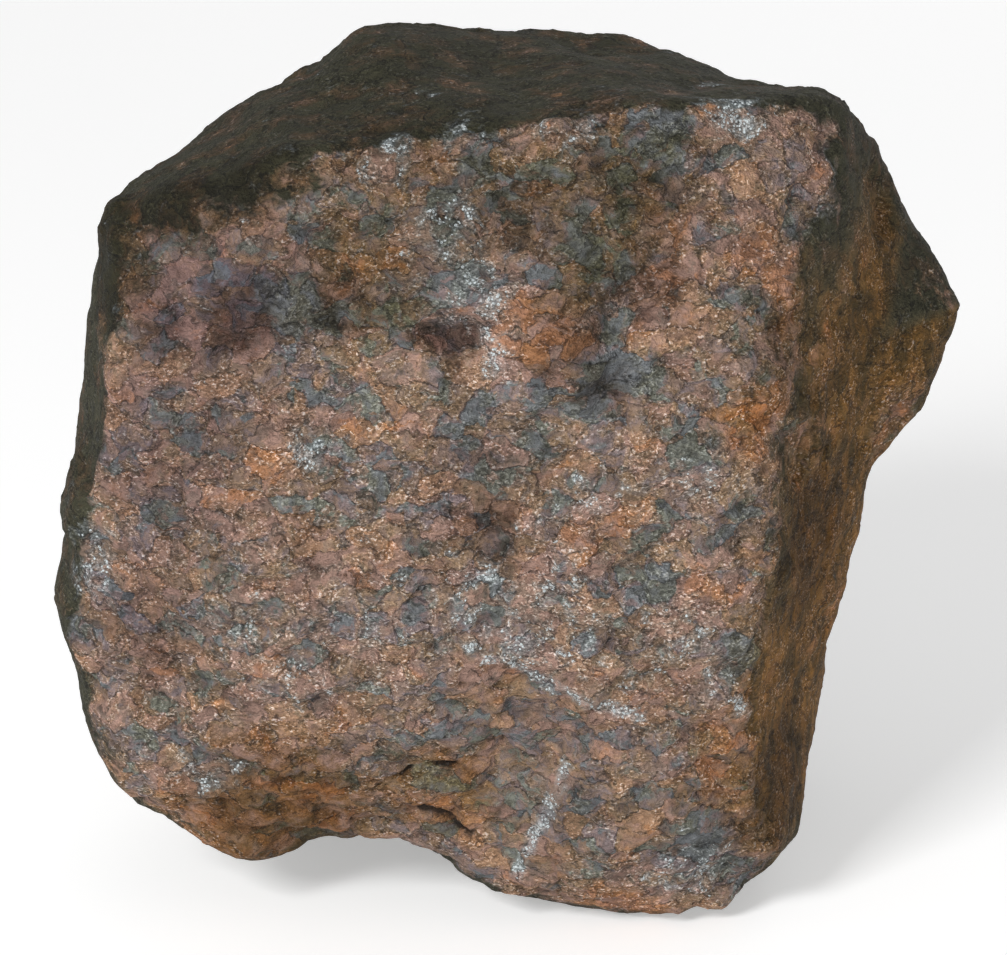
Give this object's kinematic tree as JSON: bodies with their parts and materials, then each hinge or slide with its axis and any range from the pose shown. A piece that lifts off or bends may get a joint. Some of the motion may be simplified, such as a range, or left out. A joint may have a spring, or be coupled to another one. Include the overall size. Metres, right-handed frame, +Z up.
{
  "type": "meteorite",
  "caption": "Heavy angular stony meteorite with a broad mottled front, a dark fusion-crusted top and a worn foot it stands on, used as a specimen or natural prop.",
  "frame": {"origin": "centre of the bounding box in X and Y, on the plane of the worn foot", "axes": "+X along the broad front towards the jutting right corner, +Y from the broad front to the back, +Z up out of the foot"},
  "size_m": [0.1472, 0.107, 0.1379],
  "materials": {
    "meteoritic_stone": "rough weathered stone, rust brown and blue-grey, with a dark olive crust"
  },
  "bodies": {
    "root": {"meteorite": "meteoritic_stone"}
  },
  "joints": []
}
